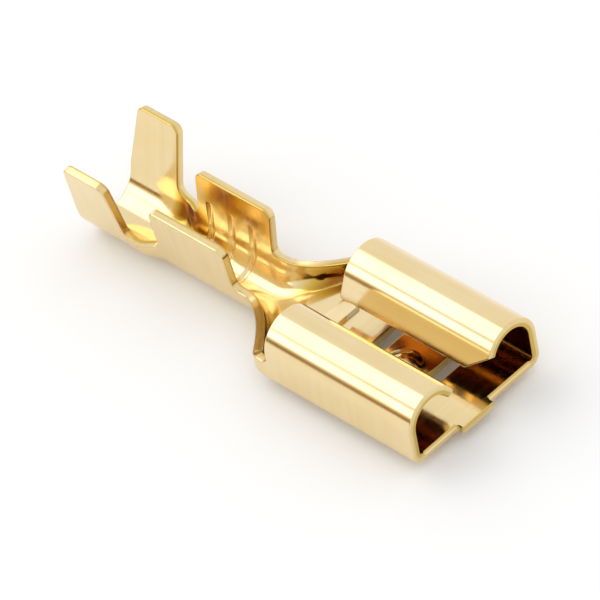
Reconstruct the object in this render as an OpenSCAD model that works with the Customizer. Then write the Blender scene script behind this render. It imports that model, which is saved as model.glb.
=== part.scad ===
// Female spade terminal for a 6.3 mm blade.
// One brass blank, stamped flat and then folded: blade receptacle with two curled walls,
// flared neck, serrated wire barrel and insulation grip.
// +X points out of the mouth, +Z up; the origin is under the middle of the terminal,
// at the level of its lowest point.

/* [Stock] */
// Thickness of the brass sheet
sheet_t = 0.4; // [0.3:0.05:0.5]

/* [Receptacle] */
// Length of the two curled walls
receptacle_len = 8.35; // [7:0.1:10]
// Overall width across the curled walls
receptacle_w = 7.7; // [7.2:0.1:8.6]
// Height of the curled walls over the underside of the floor
receptacle_h = 3.2; // [3:0.05:3.6]
// Outer radius of each curl
curl_r = 1.44; // [1.3:0.02:1.5]
// How far each curl turns before it runs straight down to its tip, in degrees
curl_turn = 155; // [145:1:160]
// Space left between the floor and the tips for the blade
blade_gap = 0.88; // [0.7:0.02:1]
// Outer radius of the bend between floor and wall
corner_r = 0.55; // [0.5:0.05:0.7]
// Length of the slanting lead-in cut on each tip at the mouth
lead_len = 1.2; // [0.5:0.05:1.6]
// Height of the lead-in cut over the lower edge of the tip
lead_rise = 0.85; // [0.3:0.05:1]
// Height of the coined bevel along the mouth edge of the floor
mouth_bevel = 0.12; // [0.05:0.01:0.2]

/* [Floor features] */
// Width of each of the two relief slots, along the terminal
slot_w = 0.7; // [0.4:0.05:0.9]
// Length of the relief slots, across the floor
slot_len = 4; // [3:0.1:4.6]
// Distance from the mouth to the middle of the front slot
front_slot_x = 2.65; // [2.2:0.05:3]
// Distance from the mouth to the middle of the rear slot
rear_slot_x = 5.85; // [5.4:0.05:6.2]
// Radius of the detent dimple at its foot
dimple_r = 0.85; // [0.6:0.05:1]
// Height of the detent dimple over the floor
dimple_h = 0.28; // [0.15:0.01:0.35]
// Distance from the mouth to the step that stops the blade
stop_x = 8.05; // [7.4:0.05:8.2]
// Height of the blade stop over the floor
stop_h = 0.18; // [0.1:0.01:0.25]
// Width of the blade stop
stop_w = 2.8; // [1.5:0.1:3.4]
// Length of the ramp behind the blade stop
stop_ramp = 1; // [0.6:0.05:1.3]

/* [Carrier tab] */
// Width of the cut-off carrier tab at the mouth
tab_w = 1.9; // [1.2:0.1:2.6]
// How far the carrier tab stands out of the mouth
tab_len = 0.35; // [0.2:0.05:0.6]
// How far the carrier tab lies off the centre line
tab_shift = 0.3; // [0:0.05:0.5]

/* [Neck] */
// Length of the narrow part of the neck, next to the wire barrel
waist_len = 0.5; // [0.3:0.05:0.8]
// Length over which the neck flares out to the receptacle's width
flare_len = 2.9; // [2.4:0.1:4]
// Length of the low walls between the flare and the curls
shoulder_len = 0.9; // [0.8:0.05:1.5]
// How late the flare opens: 1 is even, more is later
flare_bias = 1.85; // [1.5:0.05:2.2]
// Rounding of the corner where the flare meets the parallel walls
flare_round = 0.3; // [0.1:0.05:0.5]
// Height of the neck's side walls over the underside of the receptacle floor
neck_h = 1.2; // [0.9:0.05:1.5]
// Radius of the concave corners where the neck walls meet the wings and the curls
root_r = 0.55; // [0.3:0.05:0.7]
// How far the barrel's underside lies below the receptacle's
barrel_drop = 0.45; // [0.2:0.05:0.6]

/* [Wire barrel] */
// Length of the wire barrel wings
wire_len = 4.4; // [3.8:0.05:5.2]
// Inner radius of the wire barrel's trough
wire_r = 1; // [0.8:0.05:1.15]
// Height of the wire wings over the underside of the barrel
wire_h = 3.9; // [3.2:0.05:4.4]
// Outward lean of the wire wings, in degrees
wire_lean = 6; // [2:0.5:10]
// Number of serrations across the wire barrel
serration_count = 3; // [2:1:4]
// Width of one serration
serration_w = 0.45; // [0.3:0.05:0.6]
// Depth of one serration
serration_d = 0.1; // [0.05:0.01:0.15]
// Distance between neighbouring serrations
serration_pitch = 1.25; // [0.9:0.05:1.3]
// How far the row of serrations lies behind the middle of the wire barrel
serration_shift = 0.2; // [0:0.05:0.3]
// Height to which the serrations run up the wire wings
serration_top = 2.6; // [1.8:0.1:3]

/* [Insulation grip] */
// Length of the insulation wings
grip_len = 2.85; // [2.2:0.05:3.4]
// Inner radius of the insulation grip's trough
grip_r = 1.45; // [1.3:0.05:1.6]
// Height of the insulation wings over the underside of the grip
grip_h = 4.9; // [4.4:0.05:5.6]
// Outward lean of the insulation wings, in degrees
grip_lean = 12; // [6:0.5:16]
// Forward slant of the insulation wings' rear edges, in degrees
grip_rake = 9; // [0:1:12]
// Space between the insulation wings and the wire wings
notch_len = 1.65; // [1.3:0.05:2]
// Height of the straight sides over the round of the trough in the space between the wings
notch_rise = 0.15; // [0.05:0.05:0.4]
// Radius of the free corners of the wings
wing_corner_r = 0.4; // [0.25:0.05:0.6]

/* [Hidden] */

// The lofted stretches run this deep into their neighbours, and are this much thinner on each face
sink = 0.05;
skin = 0.01;
// Straight sides cross the round they grow out of by this much, so that they never just touch it
graze = 0.002;
// Steps in a quarter bend of a lofted section, in a concave root and along the flare
bend_steps = 9;
root_steps = 5;
flare_steps = 26;
// Direction of the first point of a bend, so that a trough closes on a facet at its bottom
bend_start = -90 + 45 / bend_steps;
// Reach of the cutting shapes beyond the sheet
clear = 1;
// Smoothness of the round forms
$fn = 64;

wire_outer_r = wire_r + sheet_t;
grip_outer_r = grip_r + sheet_t;
neck_len = waist_len + flare_len + shoulder_len;
total_len = tab_len + receptacle_len + neck_len + wire_len + notch_len + grip_len;

// Stations along the terminal, from the wire end to the mouth
x_grip = -total_len / 2;
x_notch = x_grip + grip_len;
x_wire = x_notch + notch_len;
x_neck = x_wire + wire_len;
x_flare = x_neck + waist_len;
x_shoulder = x_flare + flare_len;
x_curl = x_shoulder + shoulder_len;
x_mouth = x_curl + receptacle_len;

// Levels of the receptacle floor
z_under = barrel_drop;
z_floor = z_under + sheet_t;

// Centre of the curl in the receptacle's cross-section, and the run from its end to the tip
curl_y = receptacle_w / 2 - curl_r;
curl_z = z_under + receptacle_h - curl_r;
tip_z = z_floor + blade_gap;
tip_run = (curl_z + (curl_r - sheet_t) * sin(curl_turn) - tip_z) / -cos(curl_turn);

// Radius of the sphere that gives the dimple its dome
dome_r = (dimple_r * dimple_r + dimple_h * dimple_h) / (2 * dimple_h);

// Blends
function mix(a, b, f) = a + (b - a) * f;
function dir(a) = [cos(a), sin(a)];
function ease(f) = (1 - cos(180 * f)) / 2;
function within(x, x0, x1) = min(max((x - x0) / (x1 - x0), 0), 1);

// Half width of the neck's outer face at a station, and how steeply it widens there
function flare(x) =
    let (
        opening = receptacle_w / 2 - wire_outer_r,
        over = opening * (pow(max((x - x_flare) / flare_len, 0), flare_bias) - 1)
    )
    (receptacle_w + over - sqrt(over * over + flare_round * flare_round)) / 2;
function flare_slope(x) = (flare(x + sink) - flare(x - sink)) / (2 * sink);

// One face of half a trough section: flat, bend and leaning wall up to z_top. depth says how far the
// face lies inside the sheet's outer face, and stretch how much wider an aslant wall is cut.
function trough_face(half_w, bend_r, lean, z0, z_top, stretch, depth) =
    let (
        centre = [half_w - bend_r * stretch, z0 + bend_r],
        bend = [
            for (i = [0 : bend_steps])
                let (a = mix(bend_start, -lean, i / bend_steps))
                    centre + (bend_r - depth) * [stretch * cos(a), sin(a)]
        ],
        foot = bend[bend_steps]
    )
    concat(bend, [foot + (z_top - foot[1]) * [stretch * tan(lean), 1]]);

// A whole trough section: the outer face from left to right, then the inner face back
function reversed(points) = [for (i = [len(points) - 1 : -1 : 0]) points[i]];
function flipped(points) = [for (p = points) [-p[0], p[1]]];
function both_sides(points) = concat(reversed(flipped(points)), points);
function trough(half_w, bend_r, lean, z0, z_top, stretch = 1) =
    concat(
        both_sides(trough_face(half_w, bend_r, lean, z0, z_top, stretch, skin)),
        reversed(both_sides(trough_face(half_w, bend_r, lean, z0, z_top, stretch, sheet_t - skin)))
    );

// Height at which the straight side of a round trough begins
function round_top(r, lean) = r * (1 - sin(lean));

// Height that a concave root of radius root_r adds at a distance d from its wing
function root_rise(d) = root_r - sqrt(pow(root_r, 2) - pow(root_r - min(max(d, 0), root_r), 2));
root_stops = [for (i = [0 : root_steps]) root_r * (1 - cos(90 * i / root_steps))];

// Lofts sections of equal length into one closed body. A section reads the same from both of its
// ends, so that its first and last points face each other.
module loft(stations, sections) {
    n = len(sections[0]);
    last = (len(sections) - 1) * n;
    points = [
        for (i = [0 : len(sections) - 1])
            for (p = sections[i]) [stations[i], p[0], p[1]]
    ];
    sides = [
        for (i = [0 : len(sections) - 2])
            for (j = [0 : n - 1])
                let (a = i * n + j, b = i * n + (j + 1) % n)
                    for (face = [[a, a + n, b + n], [a, b + n, b]]) face
    ];
    ends = [
        for (j = [0 : n / 2 - 2])
            let (quad = [j, j + 1, n - 2 - j, n - 1 - j])
                for (corner = [1, 2])
                    [quad[0], quad[corner], quad[corner + 1]]
    ];
    far_ends = [for (face = ends) [last + face[0], last + face[2], last + face[1]]];
    polyhedron(points, concat(sides, ends, far_ends));
}

// Extrudes a (y, z) section from station x0 to x1
module along(x0, x1) {
    translate([x0, 0, 0])
        rotate([90, 0, 90])
            linear_extrude(x1 - x0)
                children();
}

// Cuts a (x, z) outline right across the terminal
module across(width) {
    rotate([90, 0, 0])
        linear_extrude(width, center = true)
            children();
}

// Part of a ring of sheet about the origin, from angle a0 to a1
module bend(outer_r, a0, a1) {
    intersection() {
        difference() {
            circle(outer_r);
            circle(outer_r - sheet_t);
        }
        polygon(concat([[0, 0]], [for (f = [0 : 1 / 3 : 1]) 2 * outer_r * dir(mix(a0, a1, f))]));
    }
}

// All that lies within one face of a barrel: a round bottom under two leaning sides, whose brim is
// cut square to the sheet
module barrel_inside(r, lean, top) {
    foot = (r - graze) * dir(-lean);
    brim = foot + (top - sheet_t * sin(lean) - foot[1]) * [tan(lean), 1];
    side = [foot, brim, brim - sheet_t * [cos(lean), -sin(lean)]];
    circle(r);
    polygon(concat(side, reversed(flipped(side))));
}

// Section of a barrel: half a ring under two leaning walls
module barrel_section(outer_r, lean, height) {
    translate([0, outer_r])
        difference() {
            barrel_inside(outer_r, lean, height - outer_r);
            barrel_inside(outer_r - sheet_t, lean, height - outer_r + clear);
        }
}

// Rounds the two free corners of a pair of wings between stations x0 and x1, and slants the rear
// edges from the given foot upwards
module wing_corners(x0, x1, height, foot, rake) {
    set_back = (height - foot) * tan(rake);
    across(receptacle_w)
        for (side = [0, 1])
            translate([side == 0 ? x0 + set_back : x1, height])
                mirror([side, 0])
                    difference() {
                        translate([-clear, -wing_corner_r])
                            square([clear + wing_corner_r, clear + wing_corner_r]);
                        translate([wing_corner_r, -wing_corner_r])
                            circle(wing_corner_r);
                    }
    across(receptacle_w)
        polygon([
            [x0 - clear, foot],
            [x0, foot],
            [x0 + set_back, height],
            [x0 + set_back, height + clear],
            [x0 - clear, height + clear]
        ]);
}

// Insulation grip: the tall pair of wings at the wire end
module insulation_grip() {
    color("gold")
        difference() {
            along(x_grip, x_notch)
                barrel_section(grip_outer_r, grip_lean, grip_h);
            wing_corners(x_grip, x_notch, grip_h, grip_outer_r, grip_rake);
        }
}

// Trough between the two pairs of wings, with a concave root at each end
module notch() {
    stations = concat(
        [x_notch - sink],
        [for (d = root_stops) x_notch + d],
        [for (d = reversed(root_stops)) x_wire - d],
        [x_wire + sink]
    );
    color("gold")
        loft(stations, [
            for (x = stations)
                let (
                    f = within(x, x_notch, x_wire),
                    r = mix(grip_outer_r, wire_outer_r, f),
                    lean = mix(grip_lean, wire_lean, f),
                    rise = notch_rise + root_rise(x - x_notch) + root_rise(x_wire - x)
                )
                    trough(r, r, lean, 0, round_top(r, lean) + rise)
        ]);
}

// Serrations that bite into the strands: sharp grooves round the inside of the wire barrel
module serrations() {
    middle = (x_wire + x_neck) / 2 - serration_shift;
    for (i = [0 : serration_count - 1])
        let (x = middle + (i - (serration_count - 1) / 2) * serration_pitch)
            loft([x - serration_w / 2, x, x + serration_w / 2], [
                for (depth = [sheet_t + skin, sheet_t - serration_d, sheet_t + skin])
                    both_sides(
                        trough_face(wire_outer_r, wire_outer_r, wire_lean, 0, serration_top, 1, depth)
                    )
            ]);
}

// Wire barrel: the pair of wings that is crimped on the strands
module wire_barrel() {
    color("gold")
        difference() {
            along(x_wire, x_neck)
                barrel_section(wire_outer_r, wire_lean, wire_h);
            wing_corners(x_wire, x_neck, wire_h, wire_outer_r, 0);
            serrations();
        }
}

// Neck: the trough opens out into the floor and low walls of the receptacle
module neck() {
    stations = concat(
        [x_neck - sink],
        [for (d = root_stops) x_neck + d],
        [for (i = [1 : flare_steps]) mix(x_neck + root_r, x_curl - root_r, i / flare_steps)],
        [for (i = [1 : root_steps]) x_curl - root_stops[root_steps - i]],
        [x_curl + sink]
    );
    color("gold")
        loft(stations, [
            for (x = stations)
                let (
                    half_w = flare(x),
                    spread = (half_w - wire_outer_r) / (receptacle_w / 2 - wire_outer_r),
                    bend_r = mix(wire_outer_r, corner_r, spread),
                    z0 = mix(0, z_under, ease(within(x, x_flare, x_shoulder))),
                    z_top = z_under + neck_h + root_rise(x - x_neck) + root_rise(x_curl - x),
                    stretch = sqrt(1 + pow(flare_slope(x), 2))
                )
                    trough(half_w, bend_r, mix(wire_lean, 0, spread), z0, z_top, stretch)
        ]);
}

// Section of the receptacle: flat floor, bends, walls and curls
module receptacle_section() {
    translate([-receptacle_w / 2 + corner_r, z_under])
        square([receptacle_w - 2 * corner_r, sheet_t]);
    for (side = [0, 1])
        mirror([side, 0]) {
            translate([receptacle_w / 2 - corner_r, z_under + corner_r])
                bend(corner_r, -90, 0);
            translate([receptacle_w / 2 - sheet_t, z_under + corner_r])
                square([sheet_t, curl_z - z_under - corner_r]);
            translate([curl_y, curl_z]) {
                bend(curl_r, 0, curl_turn);
                rotate(curl_turn)
                    translate([curl_r - sheet_t, 0])
                        square([sheet_t, tip_run]);
            }
        }
}

// Slanting cut that leads the blade in under the tips
module lead_in() {
    across(2 * curl_y)
        polygon([
            [x_mouth + clear, tip_z + lead_rise],
            [x_mouth, tip_z + lead_rise],
            [x_mouth - lead_len, tip_z - skin],
            [x_mouth - lead_len, z_floor + skin],
            [x_mouth + clear, z_floor + skin]
        ]);
}

// Coined bevel along the mouth edge of the floor
module floor_bevel() {
    across(receptacle_w - 2 * corner_r)
        polygon([
            [x_mouth - mouth_bevel, z_floor],
            [x_mouth, z_floor - mouth_bevel],
            [x_mouth + mouth_bevel, z_floor],
            [x_mouth, z_floor + mouth_bevel]
        ]);
}

// Relief slots on each side of the sprung bridge that carries the dimple
module relief_slots() {
    for (from_mouth = [front_slot_x, rear_slot_x])
        translate([x_mouth - from_mouth, 0, z_under + sheet_t / 2])
            cube([slot_w, slot_len, 2 * sheet_t], center = true);
}

// Detent dimple on the bridge between the slots: a dome of the given radius
module dimple(radius, cut) {
    intersection() {
        translate([x_mouth - (front_slot_x + rear_slot_x) / 2, 0, z_floor + dimple_h - dome_r])
            rotate([90, 0, 0])
                sphere(radius);
        translate([x_mouth - rear_slot_x, -dome_r, cut])
            cube([rear_slot_x - front_slot_x, 2 * dome_r, 2 * dome_r]);
    }
}

// Half-sheared step that stops the blade, on the given level
module blade_stop(level) {
    across(stop_w)
        polygon([
            [x_mouth - stop_x, level],
            [x_mouth - stop_x, level + stop_h],
            [x_mouth - stop_x - stop_ramp, level]
        ]);
}

// Receptacle: the floor and the two curls that hold the blade
module receptacle() {
    color("goldenrod")
        difference() {
            union() {
                along(x_curl, x_mouth)
                    receptacle_section();
                dimple(dome_r, z_floor - sheet_t / 2);
            }
            lead_in();
            floor_bevel();
            relief_slots();
            dimple(dome_r - sheet_t, z_under - clear);
        }
}

// Stub of the carrier strip, left where the terminal was cut off
module carrier_tab() {
    color("goldenrod")
        translate([x_mouth - mouth_bevel - sink, -tab_w / 2 - tab_shift, z_under])
            cube([tab_len + mouth_bevel + sink, tab_w, sheet_t]);
}

module terminal() {
    difference() {
        union() {
            insulation_grip();
            notch();
            wire_barrel();
            neck();
            receptacle();
            carrier_tab();
            color("goldenrod")
                blade_stop(z_floor);
        }
        blade_stop(z_under);
    }
}

terminal();
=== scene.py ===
"""Looks of a female spade terminal, made the way the real one is: stamped flat, coined, then folded.

The blank's outline is laid out over the developed sheet, meshed flat, and every point of it is
carried through the folds into place. All sizes are in millimetres until a mesh is written.
"""

from __future__ import annotations

import logging
import math
from dataclasses import dataclass
from enum import Enum
from functools import reduce
from itertools import accumulate
from typing import NamedTuple

import bpy
import numpy as np
from mathutils import Matrix, Vector
from mathutils.geometry import delaunay_2d_cdt

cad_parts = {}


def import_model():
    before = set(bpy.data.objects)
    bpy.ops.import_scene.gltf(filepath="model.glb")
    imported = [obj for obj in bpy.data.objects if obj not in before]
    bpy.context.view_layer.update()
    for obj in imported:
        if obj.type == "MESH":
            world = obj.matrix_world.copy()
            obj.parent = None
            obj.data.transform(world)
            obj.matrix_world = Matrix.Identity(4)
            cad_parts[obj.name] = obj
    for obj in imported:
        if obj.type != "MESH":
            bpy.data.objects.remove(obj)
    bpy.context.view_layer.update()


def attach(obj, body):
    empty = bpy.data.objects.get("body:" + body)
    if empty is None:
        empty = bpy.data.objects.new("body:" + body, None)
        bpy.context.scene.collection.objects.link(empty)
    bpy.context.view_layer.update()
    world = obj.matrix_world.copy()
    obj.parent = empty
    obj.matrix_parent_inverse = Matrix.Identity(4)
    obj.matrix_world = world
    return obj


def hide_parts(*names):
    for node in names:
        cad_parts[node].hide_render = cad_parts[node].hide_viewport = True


LOG = logging.getLogger("spade_terminal")
MM = 0.001
REAR_SHARE = 0.8  # rounding of a rear corner, against the front corner of the same wing or wall
Array = np.ndarray
Corner = tuple[float, float, float]  # station, distance across the sheet, rounding
Span = tuple[float, float]
Colour = tuple[float, float, float, float]
Socket = bpy.types.NodeSocket


# ---- small helpers


def ease(share: Array) -> Array:
    """Smooth step from 0 to 1."""
    return (1.0 - np.cos(np.pi * share)) / 2.0


def within(value: Array, low: float, high: float) -> Array:
    """Share of the way from low to high, held between 0 and 1."""
    return np.clip((value - low) / (high - low), 0.0, 1.0)


def beyond(value: Array, line: float | Array, edge: Span) -> Array:
    """Rises from 0 to 1 over a soft edge, given by its two distances from a line."""
    return within(value, line + edge[0], line + edge[1])


def mix(start: Array | float, end: Array | float, share: Array | float) -> Array | float:
    """Straight blend from start to end."""
    return start + (end - start) * share


def unit(vectors: Array) -> Array:
    """Vectors brought to length 1."""
    return vectors / np.linalg.norm(vectors, axis=-1, keepdims=True)


def grey(level: float) -> Colour:
    """A colour without a hue."""
    return (level, level, level, 1.0)


def linked(name: str, data: bpy.types.ID) -> bpy.types.Object:
    """Makes an object of its data and links it into the scene.

    Args:
        name: the object's name.
        data: its mesh, camera or light.

    Returns:
        The new object.
    """
    obj = bpy.data.objects.new(name, data)
    bpy.context.scene.collection.objects.link(obj)
    return obj


# ---- the terminal's sub-assemblies


@dataclass(frozen=True)
class Sheet:
    """The brass strip and what the press leaves along its cut edges."""

    thickness: float = 0.4
    roll_in: float = 0.07
    burr_side: float = 0.06
    coined: float = 0.12
    edge_steps: int = 4
    wall_rows: Span = (0.33, 0.67)


@dataclass(frozen=True)
class InsulationGrip:
    """The tall pair of wings at the wire end."""

    length: float = 2.85
    outer_r: float = 1.85
    height: float = 4.9
    lean: float = math.radians(12.0)
    rake: float = math.radians(9.0)
    corner: float = 0.4
    heel: float = 0.8

    def edge(self, fold: Fold) -> list[Corner]:
        """Lays out one wing of the flat blank.

        Args:
            fold: the folds of the blank.

        Returns:
            The wing's corners, from the wire end forwards.
        """
        t, top = fold.t, self.height - fold.half_t * math.sin(self.lean)
        back = (top - self.outer_r) * math.tan(self.rake)
        return [
            (t.x.grip, fold.across_at(t.x.grip, self.outer_r), self.heel),
            (t.x.grip + back, fold.across_at(t.x.grip + back, top), self.corner * REAR_SHARE),
            (t.x.notch, fold.across_at(t.x.notch, top), self.corner),
        ]


@dataclass(frozen=True)
class Notch:
    """The low trough between the two pairs of wings."""

    length: float = 1.65
    rise: float = 0.15
    front_share: float = 0.6

    def edge(self, fold: Fold) -> list[Corner]:
        """Lays out one side of the notch in the flat blank.

        Args:
            fold: the folds of the blank.

        Returns:
            The corners at the roots of the wings.
        """
        t, root = fold.t, fold.t.neck.root
        ends = (t.x.notch + root, t.x.wire - root)
        low = [fold.across_at(x, fold.wall_foot(x) + self.rise) for x in ends]
        return [(t.x.notch, low[0], root), (t.x.wire, low[1], root * self.front_share)]


@dataclass(frozen=True)
class WireBarrel:
    """The pair of wings that is crimped on the strands, and its serrations."""

    length: float = 4.4
    outer_r: float = 1.4
    height: float = 3.9
    lean: float = math.radians(6.0)
    corner: float = 0.4
    bite_count: int = 3
    bite_pitch: float = 1.25
    bite_width: float = 0.45
    bite_depth: float = 0.09
    bite_shift: float = 0.2
    bite_top: float = 2.6
    bite_fade: float = 0.12
    bite_lines: tuple[float, ...] = (-0.6, -0.5, -0.3, -0.15, 0.0, 0.15, 0.3, 0.5, 0.6)

    def edge(self, fold: Fold) -> list[Corner]:
        """Lays out one wing of the flat blank.

        Args:
            fold: the folds of the blank.

        Returns:
            The wing's top corners, from rear to front.
        """
        t, top = fold.t, self.height - fold.half_t * math.sin(self.lean)
        return [
            (t.x.wire, fold.across_at(t.x.wire, top), self.corner * REAR_SHARE),
            (t.x.neck, fold.across_at(t.x.neck, top), self.corner),
        ]

    def grooves(self, t: Terminal) -> list[float]:
        """Stations of the serrations.

        Args:
            t: the terminal's sizes.

        Returns:
            One station for each, from rear to front.
        """
        middle = (t.x.wire + t.x.neck) / 2.0 - self.bite_shift
        first = (self.bite_count - 1) / 2.0
        return [middle + (i - first) * self.bite_pitch for i in range(self.bite_count)]

    def lines(self, t: Terminal) -> list[float]:
        """Stations of the mesh lines that the serrations need."""
        return [x + self.bite_width * share for x in self.grooves(t) for share in self.bite_lines]

    def bite(self, fold: Fold, x: Array, s: Array) -> Array:
        """How fully the serrations bite at each point of the inner face.

        Args:
            fold: the folds of the blank.
            x: stations.
            s: distances across the sheet.

        Returns:
            1 round the inside of the wire barrel, fading out towards the wings' tops.
        """
        t = fold.t
        top = fold.across_at((t.x.wire + t.x.neck) / 2.0, self.bite_top)
        inside_x = (x > t.x.wire) & (x < t.x.neck)
        return (1.0 - within(np.abs(s), top - self.bite_fade, top)) * inside_x

    @staticmethod
    def serrations() -> bpy.types.GeometryNodeTree:
        """Builds the node tree that presses the serrations.

        Returns:
            The tree, with one named input for each size.
        """
        shape = {"Geometry": "Geometry"}
        sizes = dict.fromkeys(("First", "Pitch", "Count", "Width", "Depth"), "Float")
        looks = {"Faces": "Material", "Edges": "Material"}
        tree = group("Serrations", "GeometryNodeTree", {**shape, **sizes, **looks}, shape)
        bench = NodeBench(tree)
        node, math_node = bench.node, bench.math
        given = node("NodeGroupInput").outputs

        def named(label: str, kind: str) -> Socket:
            """Reads an attribute of the sheet."""
            read = node("GeometryNodeInputNamedAttribute", {"Name": label}, data_type=kind)
            return read.outputs["Attribute"]

        def product(*factors: object) -> Socket:
            """Multiplies numbers or sockets."""
            return reduce(lambda whole, factor: math_node("MULTIPLY", whole, factor), factors)

        place = node("ShaderNodeSeparateXYZ", {"Vector": node("GeometryNodeInputPosition").outputs[0]})
        step = math_node("DIVIDE", math_node("SUBTRACT", place.outputs[0], given["First"]), given["Pitch"])
        last = math_node("SUBTRACT", given["Count"], 1.0)
        nearest = math_node("MINIMUM", math_node("MAXIMUM", math_node("ROUND", step), 0.0), last)
        off = product(math_node("SUBTRACT", step, nearest), given["Pitch"])
        share = math_node("MINIMUM", math_node("DIVIDE", math_node("ABSOLUTE", off), given["Width"]), 0.5)
        swing, bite = product(share, math.tau), named("bite", "FLOAT")
        wave = product(math_node("ADD", math_node("COSINE", swing), 1.0), 0.5)
        steep = math_node("DIVIDE", product(given["Depth"], math.pi), given["Width"])
        slope = product(math_node("SINE", swing), math_node("SIGN", off), steep, bite)
        marked = node(
            "GeometryNodeStoreNamedAttribute",
            {"Geometry": given["Geometry"], "Name": "bite_slope", "Value": slope},
            data_type="FLOAT",
            domain="POINT",
        )
        way, depth = named("sheet_normal", "FLOAT_VECTOR"), product(wave, bite, given["Depth"], -1.0)
        push = node("ShaderNodeVectorMath", {"Vector": way, "Scale": depth}, operation="SCALE")
        pushed = {"Geometry": marked.outputs[0], "Offset": push.outputs[0]}
        pressed = node("GeometryNodeSetPosition", pushed)
        real = node("GeometryNodeRealizeInstances", {"Geometry": pressed.outputs[0]})
        dress = {"Geometry": real.outputs[0], "Material": given["Faces"]}
        cut = {"Selection": named("cut_face", "BOOLEAN"), "Material": given["Edges"]}
        faces = node("GeometryNodeSetMaterial", dress)
        edges = node("GeometryNodeSetMaterial", {"Geometry": faces.outputs[0], **cut})
        node("NodeGroupOutput", {"Geometry": edges.outputs[0]})
        return tree

    def press(
        self, t: Terminal, obj: bpy.types.Object, faces: bpy.types.Material, edges: bpy.types.Material
    ) -> None:
        """Presses the serrations into the sheet, dresses it and makes the result a plain mesh.

        Args:
            t: the terminal's sizes.
            obj: the folded sheet.
            faces: the material of the rolled faces.
            edges: the material of the sheared edges.
        """
        values = {
            "First": self.grooves(t)[0] * MM,
            "Pitch": self.bite_pitch * MM,
            "Count": float(self.bite_count),
            "Width": self.bite_width * MM,
            "Depth": self.bite_depth * MM,
            "Faces": faces,
            "Edges": edges,
        }
        modifier = obj.modifiers.new("Serrations", "NODES")
        modifier.node_group = self.serrations()
        for item in modifier.node_group.interface.items_tree:
            if item.in_out == "INPUT" and item.name in values:
                modifier[item.identifier] = values[item.name]
        bpy.context.view_layer.update()
        seen = obj.evaluated_get(bpy.context.evaluated_depsgraph_get())
        pressed = bpy.data.meshes.new_from_object(seen)
        obj.modifiers.clear()
        flat, obj.data = obj.data, pressed
        bpy.data.meshes.remove(flat)
        pressed.name = obj.name
        self.smooth(pressed)

    @staticmethod
    def smooth(mesh: bpy.types.Mesh) -> None:
        """Gives the mesh the sheet's own normals, tilted by the flanks of the serrations.

        Args:
            mesh: the pressed mesh.
        """
        count = len(mesh.vertices)
        exact, slope = np.zeros(count * 3, np.float32), np.zeros(count, np.float32)
        mesh.attributes["sheet_normal"].data.foreach_get("vector", exact)
        mesh.attributes["bite_slope"].data.foreach_get("value", slope)
        normals = exact.reshape(-1, 3)
        normals[:, 0] -= slope
        mesh.normals_split_custom_set_from_vertices(unit(normals).tolist())


@dataclass(frozen=True)
class Neck:
    """The flare from the barrel to the receptacle."""

    waist: float = 0.5
    flare: float = 2.9
    shoulder: float = 0.9
    bias: float = 1.85
    rounding: float = 0.3
    wall: float = 1.2
    root: float = 0.55
    drop: float = 0.45
    brim_clear: Span = (0.15, 0.1)
    brim_steps: int = 26

    @property
    def length(self) -> float:
        """Whole length of the neck."""
        return self.waist + self.flare + self.shoulder

    def edge(self, fold: Fold) -> list[Corner]:
        """Lays out the brim of one low wall in the flat blank, level once it is folded.

        Args:
            fold: the folds of the blank.

        Returns:
            The brim's corners, from rear to front.
        """
        t, brim = fold.t, self.drop + self.wall
        rear, front = self.brim_clear
        level = np.linspace(t.x.neck + self.root + rear, t.x.curl - self.root - front, self.brim_steps)
        return [
            (t.x.neck, fold.across_at(t.x.neck, brim), self.root),
            *((float(x), fold.across_at(float(x), brim), 0.0) for x in level),
            (t.x.curl, fold.across_at(t.x.curl, brim), self.root * REAR_SHARE),
        ]


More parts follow.
